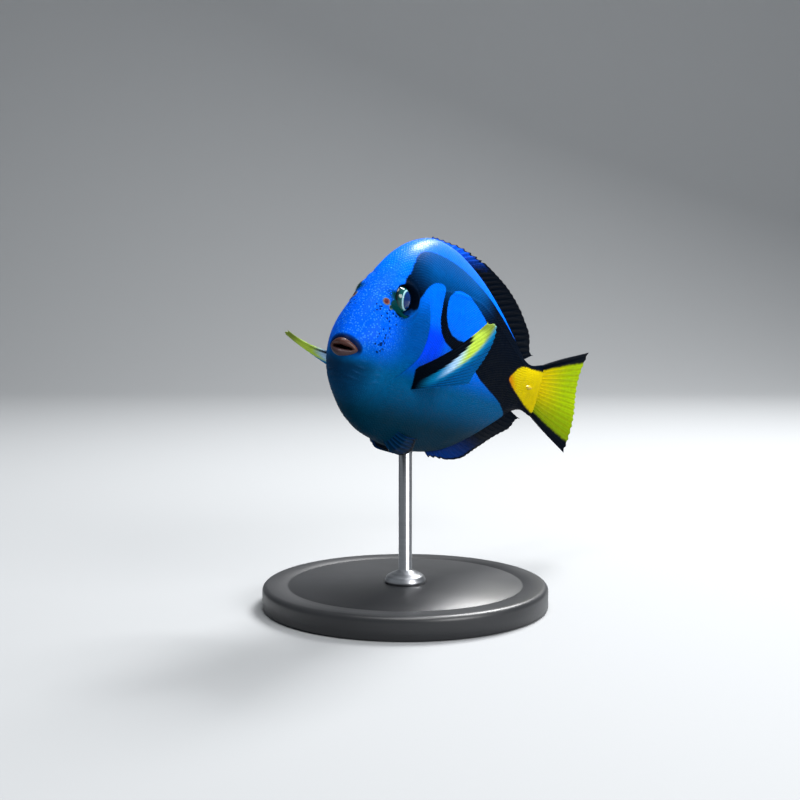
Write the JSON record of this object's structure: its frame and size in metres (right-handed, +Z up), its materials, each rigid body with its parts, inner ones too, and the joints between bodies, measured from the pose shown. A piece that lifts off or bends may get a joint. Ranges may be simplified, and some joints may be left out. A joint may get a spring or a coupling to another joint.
{
  "type": "regal blue tang model on a display stand",
  "caption": "Life-size still model of a regal blue tang swimming with a bend in its body, held by a rod on a round flat base.",
  "frame": {"origin": "centre of the underside of the stand's round base", "axes": "+Z up; the fish's snout points to -X and its tail fin to +X, with its left side towards -Y"},
  "size_m": [0.2015, 0.112, 0.1436],
  "materials": {
    "skin": "painted fish skin with a wet sheen",
    "fin": "thin blue fin membrane with raised rays, slightly clear",
    "yellow_fin": "yellow fin membrane with raised rays and black margins",
    "eye": "clear glossy eye over a dark green iris and a dark pupil",
    "spine": "smooth pale horny blade",
    "stand_base": "satin black",
    "stand_rod": "brushed steel rod"
  },
  "bodies": {
    "root": {"head": "skin", "trunk": "skin", "tail_stock": "skin", "dorsal_fin": "fin", "anal_fin": "fin", "caudal_fin": "yellow_fin", "pectoral_fin_left": "fin", "pectoral_fin_right": "fin", "pelvic_fin_left": "fin", "pelvic_fin_right": "fin", "eye_left": "eye", "eye_right": "eye", "caudal_spine_left": "spine", "caudal_spine_right": "spine", "stand_base": "stand_base", "stand_rod": "stand_rod"}
  },
  "joints": []
}
